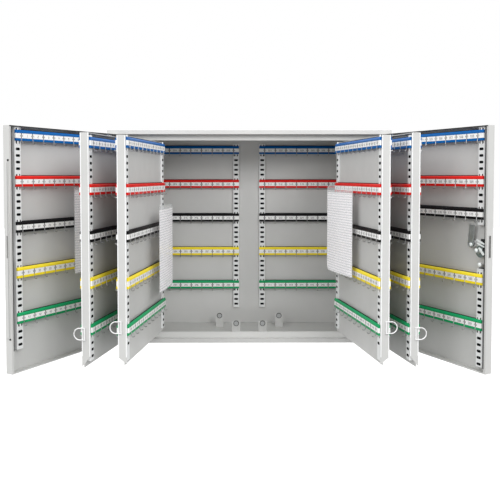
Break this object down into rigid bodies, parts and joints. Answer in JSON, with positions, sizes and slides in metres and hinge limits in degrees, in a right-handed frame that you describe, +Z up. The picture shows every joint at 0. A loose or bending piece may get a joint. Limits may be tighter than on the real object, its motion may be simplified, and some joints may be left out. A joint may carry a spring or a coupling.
{
  "type": "key cabinet",
  "caption": "Wall key cabinet with hinged double doors, swing leaves on folded returns, slotted rails with coloured hook strips, floor catches and a cam lock.",
  "frame": {"origin": "centre of the back face, which lies against the wall", "axes": "+X to the right seen from the front, +Y towards the wall, +Z up"},
  "size_m": [1.0344, 0.5823, 0.55],
  "materials": {
    "body_paint": "light grey powder coat, fine texture",
    "leaf_paint": "light grey powder coat, fine texture",
    "rack_strips": "white slotted rails with coloured strips and white number labels",
    "zinc": "zinc plated",
    "magnet": "satin",
    "pull_white": "white coated wire",
    "card": "ruled card in a clear sleeve",
    "lock_chrome": "polished"
  },
  "bodies": {
    "case": {"case_shell": "body_paint", "back_panel": "body_paint", "back_rack_left": "rack_strips", "back_rack_right": "rack_strips", "leaf_catch_left_a": "body_paint", "catch_magnet_left_a": "magnet", "leaf_pin_left_a_top": "zinc", "leaf_pin_left_a_bottom": "zinc", "leaf_catch_left_b": "body_paint", "catch_magnet_left_b": "magnet", "leaf_pin_left_b_top": "zinc", "leaf_pin_left_b_bottom": "zinc", "door_pin_left_bottom": "zinc", "door_pin_left_top": "zinc", "leaf_catch_right_a": "body_paint", "catch_magnet_right_a": "magnet", "leaf_pin_right_a_top": "zinc", "leaf_pin_right_a_bottom": "zinc", "leaf_catch_right_b": "body_paint", "catch_magnet_right_b": "magnet", "leaf_pin_right_b_top": "zinc", "leaf_pin_right_b_bottom": "zinc", "door_pin_right_bottom": "zinc", "door_pin_right_top": "zinc"},
    "left_door": {"door_left": "body_paint", "door_rack_left": "rack_strips", "locking_strip": "body_paint", "index_card_door": "card"},
    "right_door": {"door_right": "body_paint", "door_rack_right": "rack_strips", "lock_plate": "zinc", "lock_housing": "lock_chrome"},
    "lock_plug": {"cylinder_plug": "lock_chrome", "lever_bar": "zinc"},
    "hook": {"hook_bolt": "zinc"},
    "leaf_left_a": {"leaf_sheet_left_a": "leaf_paint", "leaf_return_left_a": "leaf_paint", "leaf_rack_back_left_a": "rack_strips", "leaf_rack_front_left_a": "rack_strips", "finger_pull_left_a": "pull_white"},
    "leaf_left_b": {"leaf_sheet_left_b": "leaf_paint", "leaf_return_left_b": "leaf_paint", "leaf_rack_back_left_b": "rack_strips", "leaf_rack_front_left_b": "rack_strips", "finger_pull_left_b": "pull_white", "index_card_left": "card"},
    "leaf_right_a": {"leaf_sheet_right_a": "leaf_paint", "leaf_return_right_a": "leaf_paint", "leaf_rack_back_right_a": "rack_strips", "leaf_rack_front_right_a": "rack_strips", "finger_pull_right_a": "pull_white"},
    "leaf_right_b": {"leaf_sheet_right_b": "leaf_paint", "leaf_return_right_b": "leaf_paint", "leaf_rack_back_right_b": "rack_strips", "leaf_rack_front_right_b": "rack_strips", "finger_pull_right_b": "pull_white", "index_card_right": "card"}
  },
  "joints": [
    {"name": "left_door_hinge", "type": "hinge", "parent": "case", "child": "left_door", "pos_m": [-0.3495, -0.2465, 0], "axis": [0, 0, 1], "range_deg": [0, 119]},
    {"name": "left_leaf_a_pivot", "type": "hinge", "parent": "case", "child": "leaf_left_a", "pos_m": [-0.3475, -0.226, 0], "axis": [0, 0, 1], "range_deg": [0, 100.3]},
    {"name": "left_leaf_b_pivot", "type": "hinge", "parent": "case", "child": "leaf_left_b", "pos_m": [-0.3565, -0.218, 0], "axis": [0, 0, 1], "range_deg": [0, 97.2]},
    {"name": "right_door_hinge", "type": "hinge", "parent": "case", "child": "right_door", "pos_m": [0.3495, -0.2465, 0], "axis": [0, 0, -1], "range_deg": [0, 117.6]},
    {"name": "right_leaf_a_pivot", "type": "hinge", "parent": "case", "child": "leaf_right_a", "pos_m": [0.3475, -0.226, 0], "axis": [0, 0, -1], "range_deg": [0, 100.4]},
    {"name": "right_leaf_b_pivot", "type": "hinge", "parent": "case", "child": "leaf_right_b", "pos_m": [0.3565, -0.218, 0], "axis": [0, 0, -1], "range_deg": [0, 99.4]},
    {"name": "plug_turn", "type": "hinge", "parent": "right_door", "child": "lock_plug", "pos_m": [0.48604, -0.51308, 0.011], "axis": [0.8862, 0.4633, 0], "range_deg": [0, 45]},
    {"name": "hook_swing", "type": "hinge", "parent": "right_door", "child": "hook", "pos_m": [0.49688, -0.54352, -0.007], "axis": [0.8862, 0.4633, 0], "range_deg": [0, 90]}
  ],
  "couplings": [
    {"joint": "left_leaf_a_pivot", "follows": "left_door_hinge", "ratio": 0.8428},
    {"joint": "left_leaf_b_pivot", "follows": "left_door_hinge", "ratio": 0.8168},
    {"joint": "right_leaf_a_pivot", "follows": "right_door_hinge", "ratio": 0.8537},
    {"joint": "right_leaf_b_pivot", "follows": "right_door_hinge", "ratio": 0.8452},
    {"joint": "hook_swing", "follows": "plug_turn", "ratio": 2}
  ]
}
